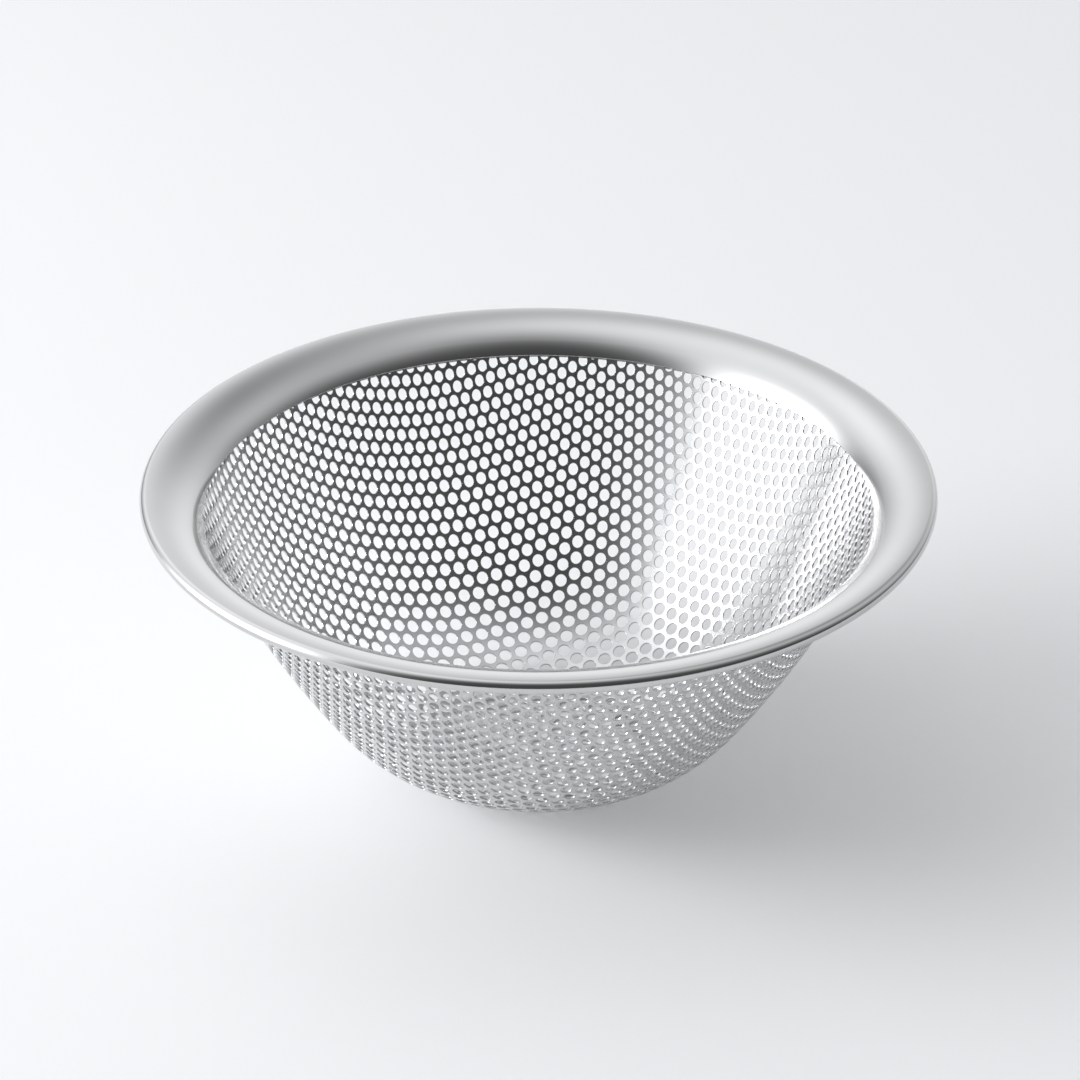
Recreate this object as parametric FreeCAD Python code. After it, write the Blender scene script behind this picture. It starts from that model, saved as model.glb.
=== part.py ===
"""A round draining bowl of punched stainless sheet with a flared, rolled rim.

Frame: millimetres, +Z up, the origin on the bowl's axis at its resting face.

The bowl's inside outline is a chain of tangent arcs from the flat base to the throat.
A profile point is (radius from the axis, height, slope from the horizontal in degrees).
"""
import FreeCAD, Part
import math
import os

Vector = FreeCAD.Vector

# Overall sizes.
rim_radius = 89.0            # to the outside of the rolled rim
overall_height = 70.5        # resting face to the rim's crest

# Sheets.
bowl_sheet = 0.5             # punched sheet
rim_sheet = 0.5              # plain sheet of the flange and of the clamp ring

# Bowl outline, on the inside of the punched sheet.
base_flat_radius = 18.3
base_arc_radius = 31.3
base_arc_slope = 16.4        # where the base arc hands over to the body arc
body_arc_radius = 42.4
wall_arc_radius = 249.0

# Rim outline, on the flange's upper side.
throat_arc_radius = 11.0
throat_arc_slope = 40.0      # where the throat arc hands over to the flare arc
flare_arc_radius = 15.5
curl_radius = 1.55           # outside of the rolled edge
curl_sweep = 245.0           # how far the sheet is rolled round

# The lap joint, in degrees of throat arc above the place before it.
open_band_turn = 6.0         # wall's top to the flange's lower edge
lap_turn = 15.5              # flange's lower edge to the punched sheet's cut edge
clamp_overhang_turn = 1.5    # how far the clamp ring reaches below the flange's lower edge
clamp_clearance_turn = 2.5   # cut edge to the ring's step
clamp_step_turn = 4.0        # taken up by the step
clamp_land_turn = 7.5        # step to the ring's upper edge, against the flange

crest_radius = rim_radius - curl_radius
crest_height = overall_height
curl_height = overall_height - curl_radius


def sine(degrees):
    return math.sin(math.radians(degrees))


def cosine(degrees):
    return math.cos(math.radians(degrees))


def rim_point(slope, depth):
    """Point on the rim where the upper side has this slope, a depth below that side."""
    flare_slope = min(slope, throat_arc_slope)
    radius = crest_radius - flare_arc_radius * sine(flare_slope)
    height = crest_height - flare_arc_radius * (1.0 - cosine(flare_slope))
    if slope > throat_arc_slope:
        radius -= throat_arc_radius * (sine(slope) - sine(throat_arc_slope))
        height -= throat_arc_radius * (cosine(throat_arc_slope) - cosine(slope))
    return radius + depth * sine(slope), height - depth * cosine(slope)


def base_point(slope, depth):
    """Point on the base and body arcs, a depth outside the bowl's inside face."""
    base_slope = min(slope, base_arc_slope)
    radius = base_flat_radius + base_arc_radius * sine(base_slope)
    height = bowl_sheet + base_arc_radius * (1.0 - cosine(base_slope))
    if slope > base_arc_slope:
        radius += body_arc_radius * (sine(slope) - sine(base_arc_slope))
        height += body_arc_radius * (cosine(base_arc_slope) - cosine(slope))
    return radius + depth * sine(slope), height - depth * cosine(slope)


def wall_slopes():
    """Slopes at the wall arc's foot and top that make it tangent to the body and the throat."""
    foot_slope = 50.0
    top_slope = 70.0
    for _ in range(60):
        foot_radius, foot_height = base_point(foot_slope, 0.0)
        top_radius, top_height = rim_point(top_slope, rim_sheet)
        run = top_radius - foot_radius
        rise = top_height - foot_height
        chord_slope = math.degrees(math.atan2(rise, run))
        half_turn = math.degrees(math.asin(math.hypot(run, rise) / (2.0 * wall_arc_radius)))
        foot_slope = chord_slope - half_turn
        top_slope = chord_slope + half_turn
    return foot_slope, top_slope


wall_foot_slope, wall_top_slope = wall_slopes()
flange_edge_slope = wall_top_slope - open_band_turn
bowl_edge_slope = flange_edge_slope - lap_turn
clamp_edge_slope = flange_edge_slope + clamp_overhang_turn
clamp_step_slope = bowl_edge_slope - clamp_clearance_turn
clamp_land_slope = clamp_step_slope - clamp_step_turn
clamp_top_slope = clamp_land_slope - clamp_land_turn


def wall_point(slope, depth):
    """Point on the wall arc, a depth outside the bowl's inside face."""
    foot_radius, foot_height = base_point(wall_foot_slope, 0.0)
    radius = foot_radius + wall_arc_radius * (sine(slope) - sine(wall_foot_slope))
    height = foot_height + wall_arc_radius * (cosine(wall_foot_slope) - cosine(slope))
    return radius + depth * sine(slope), height - depth * cosine(slope)


def place(point):
    return Vector(point[0], 0.0, point[1])


def line(start, end):
    return Part.LineSegment(place(start), place(end)).toShape()


def arc(point_at, first_slope, last_slope, depth):
    """Profile arc between two slopes, a depth from the face that the outline follows."""
    middle_slope = (first_slope + last_slope) / 2.0
    points = [place(point_at(slope, depth)) for slope in (first_slope, middle_slope, last_slope)]
    return Part.Arc(*points).toShape()


def rim_arcs(low_slope, high_slope, depth):
    """Throat and flare arcs from a steep slope up to a shallower one."""
    if low_slope <= throat_arc_slope or high_slope >= throat_arc_slope:
        return [arc(rim_point, low_slope, high_slope, depth)]
    throat = arc(rim_point, low_slope, throat_arc_slope, depth)
    return [throat, arc(rim_point, throat_arc_slope, high_slope, depth)]


def turned(edges):
    """Solid of revolution of a closed outline about the bowl's axis."""
    outline = Part.Wire(Part.__sortEdges__(edges))
    solid = Part.Face(outline).revolve(Vector(0, 0, 0), Vector(0, 0, 1), 360)
    if solid.ShapeType != "Solid":
        solid = solid.Solids[0]
    return solid


def bowl_face(depth):
    """Edges of one face of the punched sheet, from the axis to the cut edge."""
    edges = [line((0.0, bowl_sheet - depth), base_point(0.0, depth))]
    edges.append(arc(base_point, 0.0, base_arc_slope, depth))
    edges.append(arc(base_point, base_arc_slope, wall_foot_slope, depth))
    edges.append(arc(wall_point, wall_foot_slope, wall_top_slope, depth))
    edges.extend(rim_arcs(wall_top_slope, bowl_edge_slope, rim_sheet + depth))
    return edges


def make_bowl():
    """Drawn bowl as a shell of the sheet's thickness."""
    cut_edge = line(rim_point(bowl_edge_slope, rim_sheet),
                    rim_point(bowl_edge_slope, rim_sheet + bowl_sheet))
    axis_edge = line((0.0, bowl_sheet), (0.0, 0.0))
    return turned(bowl_face(0.0) + [cut_edge] + bowl_face(bowl_sheet) + [axis_edge])


def curl_point(angle, radius):
    return crest_radius + radius * cosine(angle), curl_height + radius * sine(angle)


def curl_arc(radius):
    angles = (90.0, 90.0 - curl_sweep / 2.0, 90.0 - curl_sweep)
    return Part.Arc(*[place(curl_point(angle, radius)) for angle in angles]).toShape()


def make_flange():
    """Flared ring: lap inside the bowl's edge, throat, flare and rolled curl."""
    inner_curl = curl_radius - rim_sheet
    last_angle = 90.0 - curl_sweep
    edges = rim_arcs(flange_edge_slope, 0.0, 0.0)
    edges.append(curl_arc(curl_radius))
    edges.append(line(curl_point(last_angle, curl_radius), curl_point(last_angle, inner_curl)))
    edges.append(curl_arc(inner_curl))
    edges.extend(rim_arcs(flange_edge_slope, 0.0, rim_sheet))
    edges.append(line(rim_point(flange_edge_slope, 0.0), rim_point(flange_edge_slope, rim_sheet)))
    return turned(edges)


def make_clamp_ring():
    """Joggled ring: backs the bowl's edge, then steps in against the flange's underside."""
    outside_bowl = rim_sheet + bowl_sheet
    edges = []
    for depth_low, depth_high in ((outside_bowl, rim_sheet),
                                  (outside_bowl + rim_sheet, 2.0 * rim_sheet)):
        edges.extend(rim_arcs(clamp_edge_slope, clamp_step_slope, depth_low))
        edges.append(line(rim_point(clamp_step_slope, depth_low),
                          rim_point(clamp_land_slope, depth_high)))
        edges.extend(rim_arcs(clamp_land_slope, clamp_top_slope, depth_high))
    for slope, depth in ((clamp_edge_slope, outside_bowl), (clamp_top_slope, rim_sheet)):
        edges.append(line(rim_point(slope, depth), rim_point(slope, depth + rim_sheet)))
    return turned(edges)


def main():
    os.makedirs("parts", exist_ok=True)
    pieces = {
        "perforated_bowl": make_bowl(),
        "rim_flange": make_flange(),
        "clamp_ring": make_clamp_ring(),
    }
    for name, solid in pieces.items():
        if not solid.isValid():
            raise ValueError(name + " is not a valid solid")
        solid.exportStep("parts/" + name + ".step")
        print(name, "volume", round(solid.Volume), "box", solid.BoundBox)
    print("wall slopes", round(wall_foot_slope, 2), round(wall_top_slope, 2))


main()
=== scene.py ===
"""A punched steel draining bowl with a flared, rolled rim, on a pale studio floor."""
import math

import bpy
import numpy as np
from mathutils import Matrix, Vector
from mathutils.geometry import delaunay_2d_cdt


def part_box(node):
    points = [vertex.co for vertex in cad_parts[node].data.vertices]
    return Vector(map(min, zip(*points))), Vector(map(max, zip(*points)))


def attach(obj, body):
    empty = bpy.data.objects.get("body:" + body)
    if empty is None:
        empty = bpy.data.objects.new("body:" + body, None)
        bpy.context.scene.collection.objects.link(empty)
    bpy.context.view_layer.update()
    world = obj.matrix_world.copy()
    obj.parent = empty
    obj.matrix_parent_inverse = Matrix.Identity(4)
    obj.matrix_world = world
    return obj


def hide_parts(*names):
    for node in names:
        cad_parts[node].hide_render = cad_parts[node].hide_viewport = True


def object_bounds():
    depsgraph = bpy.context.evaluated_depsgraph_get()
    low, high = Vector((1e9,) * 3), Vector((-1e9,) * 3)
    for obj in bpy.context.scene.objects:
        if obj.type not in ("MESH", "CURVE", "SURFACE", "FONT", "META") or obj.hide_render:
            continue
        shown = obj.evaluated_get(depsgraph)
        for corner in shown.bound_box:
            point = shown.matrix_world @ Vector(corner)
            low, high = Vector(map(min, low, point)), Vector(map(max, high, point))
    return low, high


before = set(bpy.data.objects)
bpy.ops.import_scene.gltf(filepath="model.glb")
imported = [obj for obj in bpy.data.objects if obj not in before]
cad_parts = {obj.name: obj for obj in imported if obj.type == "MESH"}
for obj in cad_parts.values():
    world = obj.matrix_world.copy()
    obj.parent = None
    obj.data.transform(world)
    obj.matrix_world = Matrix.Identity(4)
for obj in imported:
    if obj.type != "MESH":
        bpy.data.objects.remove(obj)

cad_low, cad_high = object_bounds()

# Sizes are in millimetres and slopes in degrees from the horizontal, unless a comment says so.
MM = 0.001
rim_radius = round(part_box("rim_flange")[1].x / MM, 1)
overall_height = round(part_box("rim_flange")[1].z / MM, 1)
resting_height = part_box("perforated_bowl")[0].z / MM

# Sheets.
bowl_sheet = 0.5
rim_sheet = 0.5
cut_edge_radius = 0.18       # rounding of the flange's and the ring's cut edges

# Bowl outline, on the inside of the punched sheet.
base_flat_radius = 18.3
base_arc_radius = 31.3
base_arc_slope = 16.4
body_arc_radius = 42.4
wall_arc_radius = 249.0

# Rim outline, on the flange's upper side.
throat_arc_radius = 11.0
throat_arc_slope = 40.0
flare_arc_radius = 15.5
curl_radius = 1.55
curl_sweep = 245.0

# The lap joint, in degrees of throat arc above the place before it.
open_band_turn = 6.0
lap_turn = 15.5
clamp_overhang_turn = 1.5
clamp_clearance_turn = 2.5
clamp_step_turn = 4.0
clamp_land_turn = 7.5

# Punched pattern, on the flat blank before it is drawn.
hole_pitch = 4.0
hole_diameter = 3.0
pattern_turn = 20.0          # degrees from +X to a row of holes
draw_in = 0.026              # share by which the blank's radius exceeds the drawn arc length
hole_edge_radius = 0.12
cut_margin = 0.1             # least width of plain sheet along the cut edge
points_per_hole = 18         # three for each side of a cell, to suit its ninths
points_round = 600           # round the cut edge, and round each lathed piece
outline_samples = 8001       # along the outline, for finding arc length from blank radius
outline_overrun = 1.02       # how far past the cut edge that table goes
lattice_overrun = 1.3        # how far past the cut edge the lattice is laid out
edge_clearance = 1.3         # cut margins between an outermost hole and the cut edge
corner_steps = 6             # facets round each cut edge's quarter turns
tangent_rounds = 60          # repeats that settle the wall's end slopes
slope_step = 2.0             # degrees between points of the throat and the flare
curl_samples = 36            # along the sheet, round the curl
ring_samples = 25            # along the sheet, across the clamp ring
merge_distance = 1e-6        # below which two points of the flat blank count as one

crest_radius = rim_radius - curl_radius
crest_height = overall_height


def sine(degrees):
    return np.sin(np.radians(degrees))


def cosine(degrees):
    return np.cos(np.radians(degrees))


def rim_point(slope, depth):
    """Point on the rim where the upper side has this slope, a depth below that side."""
    flare_slope = np.minimum(slope, throat_arc_slope)
    throat_slope = np.maximum(slope, throat_arc_slope)
    radius = crest_radius - flare_arc_radius * sine(flare_slope)
    radius = radius - throat_arc_radius * (sine(throat_slope) - sine(throat_arc_slope))
    height = crest_height - flare_arc_radius * (1.0 - cosine(flare_slope))
    height = height - throat_arc_radius * (cosine(throat_arc_slope) - cosine(throat_slope))
    return radius + depth * sine(slope), height - depth * cosine(slope)


def base_top(slope):
    """Point on the inside face where the body arc has this slope."""
    radius = base_flat_radius + base_arc_radius * sine(base_arc_slope)
    radius = radius + body_arc_radius * (sine(slope) - sine(base_arc_slope))
    height = bowl_sheet + base_arc_radius * (1.0 - cosine(base_arc_slope))
    height = height + body_arc_radius * (cosine(base_arc_slope) - cosine(slope))
    return radius, height + resting_height


def wall_slopes():
    """Slopes at the wall arc's foot and top that make it tangent to the body and the throat."""
    foot_slope, top_slope = 50.0, 70.0  # first guesses
    for _ in range(tangent_rounds):
        foot_radius, foot_height = base_top(foot_slope)
        top_radius, top_height = rim_point(top_slope, rim_sheet)
        run, rise = top_radius - foot_radius, top_height - foot_height
        chord_slope = math.degrees(math.atan2(rise, run))
        half_turn = math.degrees(math.asin(math.hypot(run, rise) / (2.0 * wall_arc_radius)))
        foot_slope, top_slope = chord_slope - half_turn, chord_slope + half_turn
    return foot_slope, top_slope


wall_foot_slope, wall_top_slope = wall_slopes()
flange_edge_slope = wall_top_slope - open_band_turn
bowl_edge_slope = flange_edge_slope - lap_turn
clamp_edge_slope = flange_edge_slope + clamp_overhang_turn
clamp_step_slope = bowl_edge_slope - clamp_clearance_turn
clamp_land_slope = clamp_step_slope - clamp_step_turn
clamp_top_slope = clamp_land_slope - clamp_land_turn


class Outline:
    """The inside face of the punched sheet as tangent arcs, by arc length from the axis."""

    def __init__(self):
        turns = ((base_arc_radius, base_arc_slope),
                 (body_arc_radius, wall_foot_slope),
                 (wall_arc_radius, wall_top_slope),
                 (rim_sheet - throat_arc_radius, bowl_edge_slope))
        at = [base_flat_radius, base_flat_radius, bowl_sheet + resting_height, 0.0]
        self.rows = []
        for bend_radius, last_slope in turns:
            self.rows.append((*at, bend_radius))
            first_slope = at[3]
            at[0] += bend_radius * math.radians(last_slope - first_slope)
            at[1] += bend_radius * (sine(last_slope) - sine(first_slope))
            at[2] += bend_radius * (cosine(first_slope) - cosine(last_slope))
            at[3] = last_slope
        self.cut_edge = at[0]
        self.wall_top = self.rows[3][0]

    def at(self, length):
        """Radius, height and slope at each arc length."""
        radius = np.array(length, float)
        height = np.full_like(radius, bowl_sheet + resting_height)
        slope = np.zeros_like(radius)
        for start, start_radius, start_height, start_slope, bend_radius in self.rows:
            on = length > start
            here = start_slope + np.degrees((length[on] - start) / bend_radius)
            slope[on] = here
            radius[on] = start_radius + bend_radius * (sine(here) - sine(start_slope))
            height[on] = start_height + bend_radius * (cosine(start_slope) - cosine(here))
        return radius, height, slope


outline = Outline()


def blank_radius(length):
    """Radius on the flat blank of what ends up at this arc length from the axis."""
    return length * (1.0 + draw_in * (length / outline.wall_top) ** 2)


def drawn(flat, depth, wall=None):
    """Places and normals of points of the flat blank once it is drawn.

    depth is measured outwards from the inside face. A wall direction, where given, is the
    normal on the flat blank; otherwise the normal is the nearer face's.
    """
    on_blank = np.hypot(flat[:, 0], flat[:, 1])
    turn = np.arctan2(flat[:, 1], flat[:, 0])
    lengths = np.linspace(0.0, outline.cut_edge * outline_overrun, outline_samples)
    length = np.interp(on_blank, blank_radius(lengths), lengths)
    radius, height, slope = outline.at(length)
    outward = np.stack([np.cos(turn), np.sin(turn), np.zeros_like(turn)], 1)
    around = np.stack([-np.sin(turn), np.cos(turn), np.zeros_like(turn)], 1)
    up = np.array([0.0, 0.0, 1.0])
    across = sine(slope)[:, None] * outward - cosine(slope)[:, None] * up
    along = cosine(slope)[:, None] * outward + sine(slope)[:, None] * up
    places = radius[:, None] * outward + height[:, None] * up + depth[:, None] * across
    if wall is None:
        normals = np.where(depth[:, None] > bowl_sheet / 2.0, across, -across)
    else:
        stretch = 1.0 + 3.0 * draw_in * (length / outline.wall_top) ** 2
        shrink = on_blank / np.maximum(radius, hole_edge_radius)
        meridional = (wall * outward[:, :2]).sum(1) * stretch
        circumferential = (wall * around[:, :2]).sum(1) * shrink
        normals = meridional[:, None] * along + circumferential[:, None] * around
        normals /= np.linalg.norm(normals, axis=1)[:, None]
    return places, normals


def mesh_object(name, places, faces, normals, material):
    """Object from numpy points in millimetres, lists of face arrays and a normal per point."""
    corners = np.concatenate([f.ravel() for f in faces])
    sizes = np.concatenate([np.full(len(f), f.shape[1]) for f in faces])
    mesh = bpy.data.meshes.new(name)
    mesh.vertices.add(len(places))
    mesh.vertices.foreach_set("co", (places * MM).astype(np.float32).ravel())
    mesh.loops.add(len(corners))
    mesh.loops.foreach_set("vertex_index", corners.astype(np.int32))
    mesh.polygons.add(len(sizes))
    starts = np.concatenate([[0], np.cumsum(sizes)[:-1]])
    mesh.polygons.foreach_set("loop_start", starts.astype(np.int32))
    mesh.update(calc_edges=True)
    mesh.validate()
    mesh.polygons.foreach_set("use_smooth", np.ones(len(sizes), bool))
    mesh.normals_split_custom_set_from_vertices(normals.tolist())
    mesh.materials.append(material)
    piece = bpy.data.objects.new(name, mesh)
    bpy.context.scene.collection.objects.link(piece)
    return piece


def bands(rings):
    """Quads between neighbouring rings of vertex numbers, each row of a ring closed."""
    quads = []
    for outer, inner in zip(rings, rings[1:]):
        quad = (outer, np.roll(outer, -1, 1), np.roll(inner, -1, 1), inner)
        quads.append(np.stack(quad, -1).reshape(-1, 4))
    return quads


def punched_bowl(material):
    """The drawn sheet with every hole cut through it, its edges rounded, as one closed mesh."""
    row = np.radians(pattern_turn + np.array([0.0, 60.0]))
    basis = hole_pitch * np.stack([np.cos(row), np.sin(row)], 1)
    cut = blank_radius(outline.cut_edge)
    hole = hole_diameter / 2.0
    reach = int(cut / hole_pitch * lattice_overrun)
    steps = np.arange(-reach, reach + 1)
    cells = np.stack(np.meshgrid(steps, steps), -1).reshape(-1, 2)
    centres = cells @ basis
    furthest = cut - hole - hole_edge_radius - edge_clearance * cut_margin
    kept = np.linalg.norm(centres, axis=1) < furthest
    cells, centres = cells[kept], centres[kept]

    # A cell's outline in ninths of the basis, so that neighbours share exact points.
    ninths = 9
    corners = np.array([(3, 3), (-3, 6), (-6, 3), (-3, -3), (3, -6), (6, -3)])
    per_side = points_per_hole // len(corners)
    sides = (np.roll(corners, -1, 0) - corners) // per_side
    rim = (corners[:, None] + sides[:, None] * np.arange(per_side)[None, :, None]).reshape(-1, 2)
    keys = (cells[:, None] * ninths + rim[None]).reshape(-1, 2)
    unique, numbers = np.unique(keys, axis=0, return_inverse=True)
    cell_rim = numbers.reshape(len(cells), points_per_hole)
    web = unique @ basis / ninths
    web_radius = np.linalg.norm(web, axis=1)
    limit = cut - cut_margin
    web = web * np.minimum(1.0, limit / np.maximum(web_radius, hole))[:, None]

    turn = np.radians(pattern_turn + 30.0 + np.arange(points_per_hole) * 360.0 / points_per_hole)
    ray = np.stack([np.cos(turn), np.sin(turn)], 1)
    hole_rings = ((hole + hole_edge_radius, 0.0), (hole, hole_edge_radius),
                  (hole, bowl_sheet - hole_edge_radius), (hole + hole_edge_radius, bowl_sheet))
    web_count = len(web)
    parts = [drawn(web, np.zeros(web_count)), drawn(web, np.full(web_count, bowl_sheet))]
    rings = [cell_rim]
    first = 2 * web_count
    for radius, depth in hole_rings:
        flat = (centres[:, None] + radius * ray[None]).reshape(-1, 2)
        wall = np.tile(-ray, (len(cells), 1)) if radius == hole else None
        parts.append(drawn(flat, np.full(len(flat), depth), wall))
        rings.append(first + np.arange(len(flat)).reshape(-1, points_per_hole))
        first += len(flat)
    rings.append(cell_rim + web_count)
    faces = bands(rings)

    # Plain sheet between the outermost cells and the cut edge.
    pairs = np.stack([cell_rim, np.roll(cell_rim, -1, 1)], -1).reshape(-1, 2)
    _, which, times = np.unique(np.sort(pairs, 1), axis=0, return_inverse=True,
                                return_counts=True)
    border = pairs[times[which.ravel()] == 1]
    following = {int(a): int(b) for a, b in border}
    loop = [int(border[0, 0])]
    while following[loop[-1]] != loop[0]:
        loop.append(following[loop[-1]])
    around = np.linspace(0.0, 2.0 * np.pi, points_round, endpoint=False)
    circle = cut * np.stack([np.cos(around), np.sin(around)], 1)
    flat_points = [Vector(p) for p in web[loop]] + [Vector(p) for p in circle]
    inner = list(range(len(loop)))
    outer = list(range(len(loop), len(loop) + points_round))
    only_inside = 1
    found = delaunay_2d_cdt(flat_points, [], [outer, inner], only_inside, merge_distance)
    sources = np.array([s[0] for s in found[3]])
    numbers_in = np.concatenate([loop, first + np.arange(points_round)])
    numbers_out = np.concatenate([np.array(loop) + web_count,
                                  first + points_round + np.arange(points_round)])
    fill = [f for f, inside in zip(found[2], found[5]) if list(inside) == [0]]
    fill = sources[np.array(fill)]
    faces.append(numbers_in[fill])
    faces.append(numbers_out[fill][:, ::-1])
    parts.append(drawn(circle, np.zeros(points_round)))
    parts.append(drawn(circle, np.full(points_round, bowl_sheet)))
    edge_in, edge_out = numbers_in[len(loop):], numbers_out[len(loop):]
    faces += bands([edge_out[None], edge_in[None]])

    places = np.concatenate([p for p, _ in parts])
    normals = np.concatenate([n for _, n in parts])
    print("holes", len(cells), "points", len(places), "faces", sum(len(f) for f in faces))
    return mesh_object("Punched_bowl", places, faces, normals, material)


def rounded_end(point, along, out, sheet):
    """Outline round a sheet's cut edge, from its upper side to its underside."""
    rows = []
    for sunk, first, last in ((cut_edge_radius, out, along),
                              (sheet - cut_edge_radius, along, -out)):
        centre = point - sunk * out
        for step in range(corner_steps + 1):
            turn = step / corner_steps * math.pi / 2.0
            normal = math.cos(turn) * first + math.sin(turn) * last
            rows.append(np.concatenate([centre + cut_edge_radius * normal, normal]))
    return rows


def strip_outline(points, sheet):
    """Closed outline, with normals, of a sheet whose upper side follows the points."""
    points = np.array(points)
    tangents = np.gradient(points, axis=0)
    tangents /= np.linalg.norm(tangents, axis=1)[:, None]
    out = np.stack([-tangents[:, 1], tangents[:, 0]], 1)
    upper = np.concatenate([points, out], 1)
    lower = np.concatenate([points - sheet * out, -out], 1)
    rows = list(upper) + rounded_end(points[-1], tangents[-1], out[-1], sheet)
    rows += list(lower[::-1]) + rounded_end(points[0], -tangents[0], out[0], sheet)[::-1]
    return np.array(rows)


def lathed(name, rows, material):
    """Closed outline of radius, height and their normal, turned about the axis."""
    rows = rows[::-1]
    turn = np.linspace(0.0, 2.0 * np.pi, points_round, endpoint=False)
    ray = np.stack([np.cos(turn), np.sin(turn)], 1)

    def spun(pair):
        flat = pair[:, None, :1] * ray[None]
        up = np.broadcast_to(pair[:, None, 1:], flat[..., :1].shape)
        return np.concatenate([flat, up], -1).reshape(-1, 3)

    numbers = np.arange(len(rows) * points_round).reshape(len(rows), points_round)
    rings = [numbers[i:i + 1] for i in range(len(rows))] + [numbers[:1]]
    return mesh_object(name, spun(rows[:, :2]), bands(rings), spun(rows[:, 2:]), material)


def flange_points():
    """Upper side of the flange, from its lap edge over the flare and round the curl."""
    inset = math.degrees(cut_edge_radius / throat_arc_radius)
    throat = np.arange(flange_edge_slope - inset, throat_arc_slope, -slope_step)
    flare = np.arange(throat_arc_slope, 0.0, -slope_step)
    points = [rim_point(slope, 0.0) for slope in np.concatenate([throat, flare])]
    inset = math.degrees(cut_edge_radius / curl_radius)
    for angle in np.linspace(90.0, 90.0 - curl_sweep + inset, curl_samples):
        points.append((crest_radius + curl_radius * cosine(angle),
                       crest_height - curl_radius + curl_radius * sine(angle)))
    return points


def clamp_points():
    """Inner side of the clamp ring: under the bowl's edge, then stepped in to the flange."""
    inset = math.degrees(cut_edge_radius / throat_arc_radius)
    points = []
    for slope in np.linspace(clamp_edge_slope - inset, clamp_top_slope + inset, ring_samples):
        share = np.clip((slope - clamp_land_slope) / clamp_step_turn, 0.0, 1.0)
        eased = share * share * (3.0 - 2.0 * share)
        points.append(rim_point(slope, rim_sheet + bowl_sheet * eased))
    return points


# Scales of the steel's noises, per metre, and the height of its bumps, in metres.
line_scale = 5200.0
grain_scale = 3800.0
cloud_scale = 55.0
line_share = 0.35            # of the lines in the roughness, beside the clouds
bump_height = 0.00002

# Studio floor, in metres, and its grain, per metre.
floor_half_width = 4.0
floor_cells = 8
floor_grain_scale = 700.0
floor_bump_height = 0.0002

# The wall glows fade to 1/e at about 24 degrees from their middles.
glow_tightness = 12.0


def socket(node, name, value):
    node.inputs[name].default_value = value


def steel(name, tone, low, high, line_bump, grain_bump):
    """Satin stainless steel: fine turned lines, a soft grain and clouded roughness."""
    material = bpy.data.materials.new(name)
    material.use_nodes = True
    nodes, links = material.node_tree.nodes, material.node_tree.links
    shader = nodes["Principled BSDF"]
    socket(shader, "Metallic", 1.0)
    coordinates = nodes.new("ShaderNodeTexCoord").outputs["Object"]

    # Radius from the axis, so that the fine lines run round the bowl.
    flat = nodes.new("ShaderNodeVectorMath")
    flat.operation = "MULTIPLY"
    flat.inputs[1].default_value = (1.0, 1.0, 0.0)
    links.new(coordinates, flat.inputs[0])
    radius = nodes.new("ShaderNodeVectorMath")
    radius.operation = "LENGTH"
    links.new(flat.outputs[0], radius.inputs[0])
    height = nodes.new("ShaderNodeSeparateXYZ")
    links.new(coordinates, height.inputs[0])
    polar = nodes.new("ShaderNodeCombineXYZ")
    links.new(radius.outputs["Value"], polar.inputs[0])
    links.new(height.outputs[2], polar.inputs[1])

    def noise(vector, scale, detail):
        node = nodes.new("ShaderNodeTexNoise")
        socket(node, "Scale", scale)
        socket(node, "Detail", detail)
        links.new(vector, node.inputs["Vector"])
        return node.outputs["Fac"]

    lines = noise(polar.outputs[0], line_scale, 2.0)
    grain = noise(coordinates, grain_scale, 3.0)
    clouds = noise(coordinates, cloud_scale, 4.0)

    mixed = nodes.new("ShaderNodeMath")
    mixed.operation = "MULTIPLY_ADD"
    mixed.inputs[1].default_value = line_share
    links.new(lines, mixed.inputs[0])
    links.new(clouds, mixed.inputs[2])
    rough = nodes.new("ShaderNodeMapRange")
    socket(rough, "From Min", 0.4)
    socket(rough, "From Max", 1.0)
    socket(rough, "To Min", low)
    socket(rough, "To Max", high)
    links.new(mixed.outputs[0], rough.inputs["Value"])
    links.new(rough.outputs[0], shader.inputs["Roughness"])

    tint = nodes.new("ShaderNodeValToRGB")
    tint.color_ramp.elements[0].position = 0.3
    tint.color_ramp.elements[1].position = 0.7
    for element, factor in zip(tint.color_ramp.elements, (0.97, 1.0)):
        element.color = (*[channel * factor for channel in tone], 1.0)
    links.new(clouds, tint.inputs[0])
    links.new(tint.outputs[0], shader.inputs["Base Color"])

    line_height = nodes.new("ShaderNodeBump")
    socket(line_height, "Strength", line_bump)
    socket(line_height, "Distance", bump_height)
    links.new(lines, line_height.inputs["Height"])
    grain_height = nodes.new("ShaderNodeBump")
    socket(grain_height, "Strength", grain_bump)
    socket(grain_height, "Distance", bump_height)
    links.new(grain, grain_height.inputs["Height"])
    links.new(line_height.outputs[0], grain_height.inputs["Normal"])
    links.new(grain_height.outputs[0], shader.inputs["Normal"])
    return material


punched_steel = steel("Punched_steel", (0.66, 0.66, 0.665), 0.12, 0.2, 0.06, 0.1)
rim_steel = steel("Rim_steel", (0.64, 0.638, 0.635), 0.07, 0.13, 0.1, 0.05)

bowl = punched_bowl(punched_steel)
flange = lathed("Flared_rim", strip_outline(flange_points(), rim_sheet), rim_steel)
clamp = lathed("Clamp_ring", strip_outline(clamp_points(), rim_sheet), rim_steel)

for piece, node, slot in ((bowl, "perforated_bowl", "punched_steel"),
                          (flange, "rim_flange", "rim_steel"),
                          (clamp, "clamp_ring", "rim_steel")):
    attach(piece, "root")
    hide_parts(node)


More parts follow.
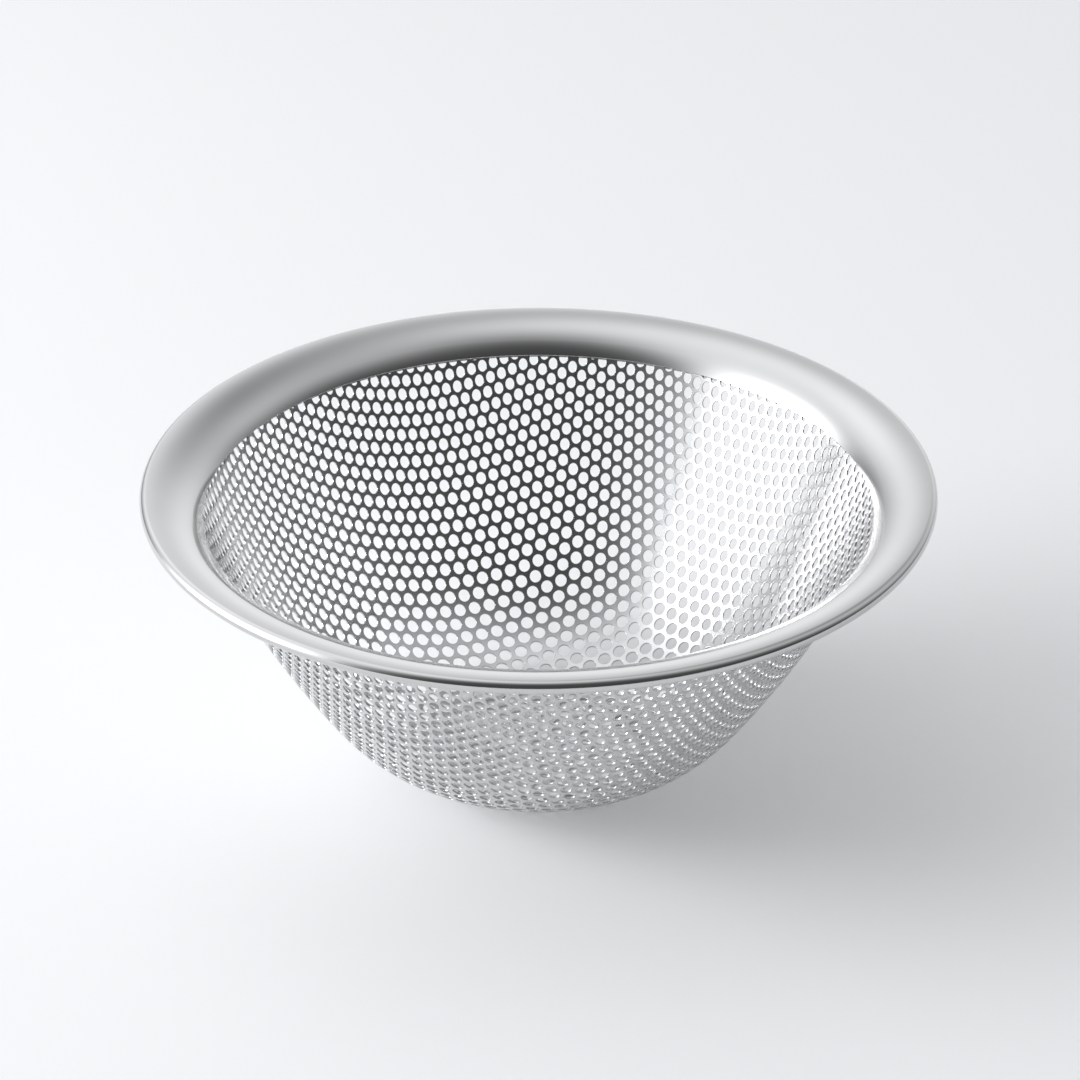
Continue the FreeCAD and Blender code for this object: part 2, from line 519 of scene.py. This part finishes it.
def studio_floor():
    """Wide pale matte floor that the bowl rests on."""
    mesh = bpy.data.meshes.new("Floor")
    grid = np.linspace(-floor_half_width, floor_half_width, floor_cells + 1)
    points = [(x, y, cad_low.z) for y in grid for x in grid]
    side = floor_cells + 1
    quads = [(r * side + c, r * side + c + 1, (r + 1) * side + c + 1, (r + 1) * side + c)
             for r in range(floor_cells) for c in range(floor_cells)]
    mesh.from_pydata(points, [], quads)
    material = bpy.data.materials.new("Floor_white")
    material.use_nodes = True
    nodes, links = material.node_tree.nodes, material.node_tree.links
    shader = nodes["Principled BSDF"]
    socket(shader, "Base Color", (0.9, 0.905, 0.915, 1.0))
    socket(shader, "Roughness", 0.9)
    socket(shader, "Specular IOR Level", 0.15)
    grain = nodes.new("ShaderNodeTexNoise")
    socket(grain, "Scale", floor_grain_scale)
    socket(grain, "Detail", 3.0)
    links.new(nodes.new("ShaderNodeTexCoord").outputs["Object"], grain.inputs["Vector"])
    bump = nodes.new("ShaderNodeBump")
    socket(bump, "Strength", 0.12)
    socket(bump, "Distance", floor_bump_height)
    links.new(grain.outputs["Fac"], bump.inputs["Height"])
    links.new(bump.outputs[0], shader.inputs["Normal"])
    mesh.materials.append(material)
    floor = bpy.data.objects.new("Floor", mesh)
    bpy.context.scene.collection.objects.link(floor)


studio_floor()
middle = Vector((0.0, 0.0, (cad_high.z + cad_low.z) / 2.0))


def softbox(name, compass, elevation, distance, width, height, radiance):
    """Area light aimed at the bowl, in metres; compass is in degrees from +X towards +Y."""
    light = bpy.data.lights.new(name, "AREA")
    light.shape = "RECTANGLE"
    light.size = width
    light.size_y = height
    light.energy = radiance * width * height * math.pi
    lamp = bpy.data.objects.new(name, light)
    away = Vector((math.cos(math.radians(compass)) * math.cos(math.radians(elevation)),
                   math.sin(math.radians(compass)) * math.cos(math.radians(elevation)),
                   math.sin(math.radians(elevation))))
    lamp.location = middle + away * distance
    lamp.rotation_mode = "QUATERNION"
    lamp.rotation_quaternion = away.to_track_quat("Z", "Y")
    lamp.visible_camera = False
    bpy.context.scene.collection.objects.link(lamp)


softbox("Left_softbox", 182.0, 14.0, 1.3, 0.8, 0.8, 8.5)


def studio_glow(world, base, glows):
    """Even light plus soft glows on the walls, each with a compass, an elevation and a strength."""
    world.use_nodes = True
    nodes, links = world.node_tree.nodes, world.node_tree.links
    direction = nodes.new("ShaderNodeTexCoord").outputs["Generated"]
    total = None
    for compass, elevation, strength in glows:
        level = math.cos(math.radians(elevation))
        towards = nodes.new("ShaderNodeVectorMath")
        towards.operation = "DOT_PRODUCT"
        towards.inputs[1].default_value = (level * math.cos(math.radians(compass)),
                                           level * math.sin(math.radians(compass)),
                                           math.sin(math.radians(elevation)))
        links.new(direction, towards.inputs[0])
        falloff = nodes.new("ShaderNodeMath")
        falloff.operation = "MULTIPLY_ADD"
        falloff.inputs[1].default_value = glow_tightness
        falloff.inputs[2].default_value = -glow_tightness
        links.new(towards.outputs["Value"], falloff.inputs[0])
        shape = nodes.new("ShaderNodeMath")
        shape.operation = "EXPONENT"
        links.new(falloff.outputs[0], shape.inputs[0])
        summed = nodes.new("ShaderNodeMath")
        summed.operation = "MULTIPLY_ADD"
        summed.inputs[1].default_value = strength
        summed.inputs[2].default_value = base
        links.new(shape.outputs[0], summed.inputs[0])
        if total is not None:
            links.new(total, summed.inputs[2])
        total = summed.outputs[0]
    links.new(total, nodes["Background"].inputs["Strength"])
    socket(nodes["Background"], "Color", (0.97, 0.985, 1.0, 1.0))


world = bpy.data.worlds.new("Studio")
studio_glow(world, 0.08, ((180.0, 8.0, 5.5),       # left, low
                          (180.0, 33.0, 1.0),      # left, high
                          (180.0, 60.0, 0.5),      # left, overhead
                          (120.0, 33.0, 1.0),      # back left
                          (120.0, 60.0, 0.5),      # back left, overhead
                          (90.0, 8.0, 0.9),        # back, low
                          (90.0, 80.0, 0.5),       # overhead
                          (60.0, 8.0, 0.6),        # back right, low
                          (30.0, 33.0, 0.5),       # right, high
                          (0.0, 60.0, 0.35)))      # right, overhead
bpy.context.scene.world = world
bpy.context.scene.view_settings.view_transform = "Standard"

# The camera stands in front of the bowl, looking down at it. The distance is in metres.
camera_distance = 0.8519
camera_elevation = 28.256
camera_pitch = 29.102
camera_yaw = 0.024
curl_height = (crest_height - curl_radius) * MM
camera_data = bpy.data.cameras.new("Camera")
camera_data.lens = 126.85
camera_data.sensor_width = 36.0
camera = bpy.data.objects.new("Camera", camera_data)
camera.location = (0.0, -camera_distance * cosine(camera_elevation),
                   curl_height + camera_distance * sine(camera_elevation))
camera.rotation_euler = (math.radians(90.0 - camera_pitch), 0.0, math.radians(-camera_yaw))
bpy.context.scene.collection.objects.link(camera)
bpy.context.scene.camera = camera
